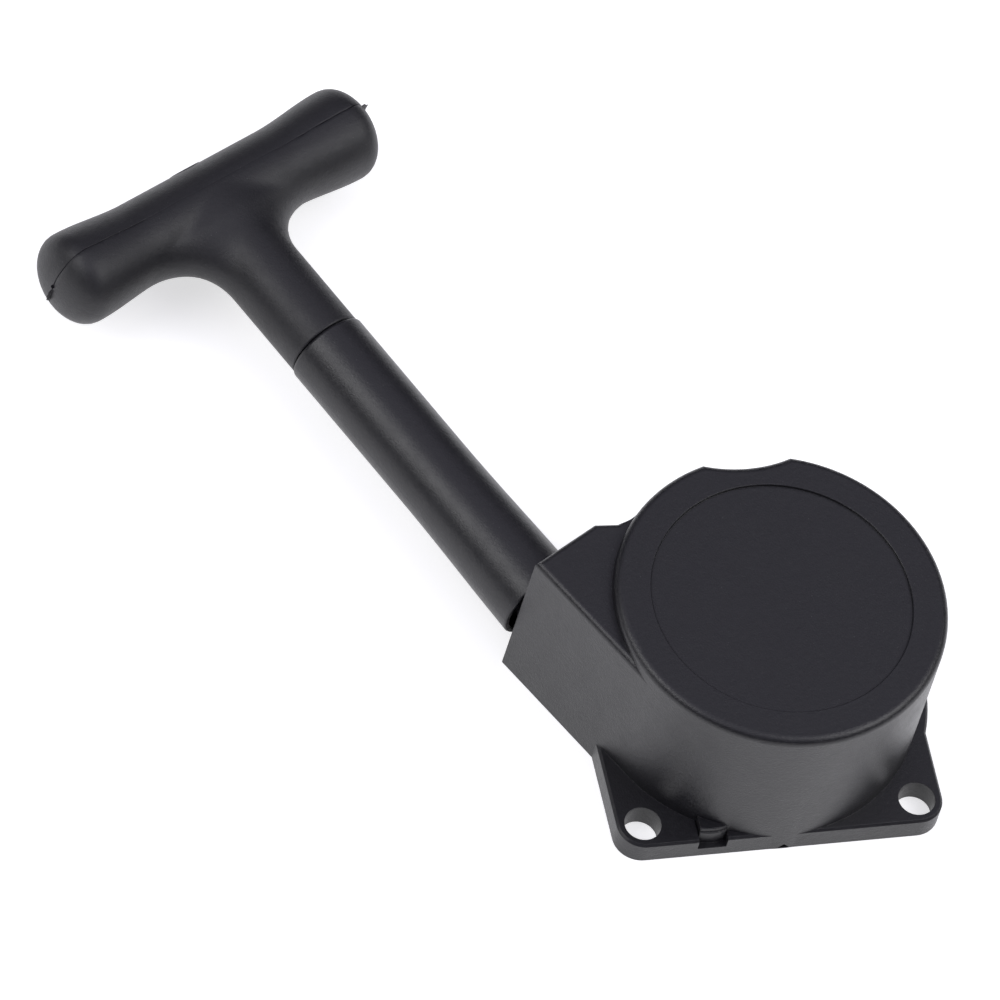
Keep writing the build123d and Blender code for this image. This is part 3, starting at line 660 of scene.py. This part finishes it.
def rope_centre(s, foot):
    """The rope's centre and direction: straight from the reel to the bend, then along the line."""
    back = (foot - BEND).normalized()
    if s >= BEND_S + BEND_SOFT:
        return line_point(s), ALONG
    if s <= BEND_S - BEND_SOFT:
        return BEND + back * (BEND_S - s), -back
    share = (s - BEND_S + BEND_SOFT) / (2 * BEND_SOFT)
    first = BEND + back * BEND_SOFT
    last = BEND + ALONG * BEND_SOFT
    centre = first * (1 - share) ** 2 + BEND * 2 * share * (1 - share) + last * share**2
    return centre, (-back * (1 - share) + ALONG * share).normalized()


def braid_height(turn, length):
    """The braid's surface: two sets of strands, crossing over and under."""
    right = STRANDS * turn + STRANDS * length / BRAID_PITCH
    left = STRANDS * turn - STRANDS * length / BRAID_PITCH
    over = (np.floor(right) + np.floor(left)) % 2 == 0
    first = np.abs(np.sin(math.pi * right))
    second = np.abs(np.sin(math.pi * left))
    top = np.where(over, first, second)
    along_top = np.where(over, second, first)
    return top**0.6 * (0.55 + 0.45 * along_top)


def build_rope():
    """The braided starter rope. It stretches from inside the case to the grip."""
    foot, stations, lengths = rope_stations()
    turns = np.arange(ROPE_SIDES) / ROPE_SIDES
    points = []
    for s, length in zip(stations, lengths):
        centre, along = rope_centre(s, foot)
        side = UP.cross(along)
        heights = ROPE_R * (1 - BRAID_DEPTH + BRAID_DEPTH * braid_height(turns, length))
        for turn, height in zip(turns, heights):
            angle = 2 * math.pi * turn
            points.append(centre + (side * math.cos(angle) + UP * math.sin(angle)) * height)
    faces = []
    count = len(stations)
    for ring in range(count - 1):
        for side in range(ROPE_SIDES):
            after = (side + 1) % ROPE_SIDES
            low = ring * ROPE_SIDES
            high = low + ROPE_SIDES
            faces.append((low + side, low + after, high + after, high + side))
    faces.append(tuple(reversed(range(ROPE_SIDES))))
    faces.append(tuple((count - 1) * ROPE_SIDES + side for side in range(ROPE_SIDES)))
    mesh = bpy.data.meshes.new("pull_rope")
    mesh.from_pydata(points, [], faces)
    rope = new_object("pull_rope", mesh, cord)
    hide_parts("starter_rope")
    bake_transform(rope, "case", "grip", start=line_point(STRETCH_S[0]), end=line_point(STRETCH_S[1]))


# ---------------------------------------------------------------- stage

# The camera faces the rear, turned to the right, tipped down and rolled, as the photo is taken
CAMERA_TURN = math.radians(28.26)
CAMERA_DOWN = math.radians(56.08)
CAMERA_ROLL = math.radians(18.95)
LOOK_AT = Vector((-44.75, 46.42, 12.79)) * MM
VIEW_WIDTH = 206.3 * MM
LENS = 1500
SENSOR = 36

FLOOR_HALF = 6.0
FLOOR_Z = -0.05 * MM
FLOOR_GLOW = 0.62

# The sky goes from its low to its high strength between these two shares of the way up
SKY_FADE = (0.45, 0.86)
SKY_LOW = 0.05
SKY_HIGH = 0.7
SKY_COLOUR = (0.96, 0.94, 1.12, 1)

# The two soft lights: where each is from LOOK_AT, and its power
BOX_DISTANCE = 1.3
BOX_SIZE = 0.8
BOXES = {"left": ((-0.70, 0.02, 0.72), 6.5), "right": ((0.63, -0.25, 0.74), 6.3)}


def build_camera():
    """A very long lens that looks down from the front left, rolled so that the drum leans."""
    data = bpy.data.cameras.new("camera")
    data.lens = LENS
    data.sensor_width = SENSOR
    distance = VIEW_WIDTH * LENS / SENSOR
    data.clip_start = 0.1
    data.clip_end = distance * 3
    camera = bpy.data.objects.new("camera", data)
    ahead = Vector((math.sin(CAMERA_TURN), math.cos(CAMERA_TURN), 0))
    forward = ahead * math.cos(CAMERA_DOWN) - UP * math.sin(CAMERA_DOWN)
    right = Matrix.Rotation(CAMERA_ROLL, 3, -forward) @ ahead.cross(UP)
    turn = Matrix((right, right.cross(forward), -forward)).transposed().to_4x4()
    camera.matrix_world = Matrix.Translation(LOOK_AT - forward * distance) @ turn
    bpy.context.scene.collection.objects.link(camera)
    bpy.context.scene.camera = camera


def build_floor():
    """A plain pale floor under the flange, lit a little from within so that shadows stay faint.

    It is clear from below, so that the underside can be looked at.
    """
    corners = [(x * FLOOR_HALF, y * FLOOR_HALF, FLOOR_Z) for x, y in ((-1, -1), (1, -1), (1, 1), (-1, 1))]
    mesh = bpy.data.meshes.new("floor")
    mesh.from_pydata(corners, [], [(0, 1, 2, 3)])
    material, tree, output, place = new_material("floor_look")
    tone = mix(tree, noise(tree, place, 0.5, 2), (0.78, 0.78, 0.78, 1), (0.8, 0.8, 0.8, 1))
    matt = add(tree, "ShaderNodeBsdfDiffuse", {"Color": tone})
    glow = add(tree, "ShaderNodeEmission", {"Color": (1, 1, 1, 1), "Strength": FLOOR_GLOW})
    both = add(tree, "ShaderNodeAddShader", {0: matt.outputs[0], 1: glow.outputs[0]})
    below = add(tree, "ShaderNodeNewGeometry").outputs["Backfacing"]
    clear = add(tree, "ShaderNodeBsdfTransparent")
    floor_shader = add(tree, "ShaderNodeMixShader", {0: below, 1: both.outputs[0], 2: clear.outputs[0]})
    tree.links.new(floor_shader.outputs[0], output.inputs[0])
    floor = bpy.data.objects.new("floor", mesh)
    mesh.materials.append(material)
    bpy.context.scene.collection.objects.link(floor)


def softbox(name, direction, power):
    """A square light in a direction from the object, aimed at it."""
    data = bpy.data.lights.new(name, "AREA")
    data.shape = "SQUARE"
    data.size = BOX_SIZE
    data.energy = power
    light = bpy.data.objects.new(name, data)
    place = LOOK_AT + Vector(direction).normalized() * BOX_DISTANCE
    light.location = place
    light.rotation_euler = (LOOK_AT - place).to_track_quat("-Z", "Y").to_euler()
    bpy.context.scene.collection.objects.link(light)


def build_sky():
    """A studio that is bright overhead and dark low down, so that rounded edges carry a dark band.

    The camera itself sees plain white behind the floor.
    """
    world = bpy.data.worlds.new("studio")
    world.use_nodes = True
    tree = world.node_tree
    back = tree.nodes["Background"]
    toward = add(tree, "ShaderNodeTexCoord").outputs["Generated"]
    height = add(tree, "ShaderNodeSeparateXYZ", {0: toward}).outputs["Z"]
    strength = ramp(tree, height, SKY_FADE[0], SKY_FADE[1], SKY_LOW, SKY_HIGH)
    back.inputs["Color"].default_value = SKY_COLOUR
    tree.links.new(strength, back.inputs["Strength"])
    white = add(tree, "ShaderNodeBackground", {"Color": (1, 1, 1, 1), "Strength": 1.0})
    seen = add(tree, "ShaderNodeLightPath").outputs["Is Camera Ray"]
    studio = add(tree, "ShaderNodeMixShader", {0: seen, 1: back.outputs[0], 2: white.outputs[0]})
    tree.links.new(studio.outputs[0], tree.nodes["World Output"].inputs["Surface"])
    bpy.context.scene.world = world


def build_lights():
    """A bright sky overhead and two soft lights, on the left and on the right."""
    build_sky()
    for name, (direction, power) in BOXES.items():
        softbox(name, direction, power)
    bpy.context.scene.view_settings.view_transform = "Standard"


dress_cad_nodes()
build_grip()
build_rope()
build_camera()
build_floor()
build_lights()
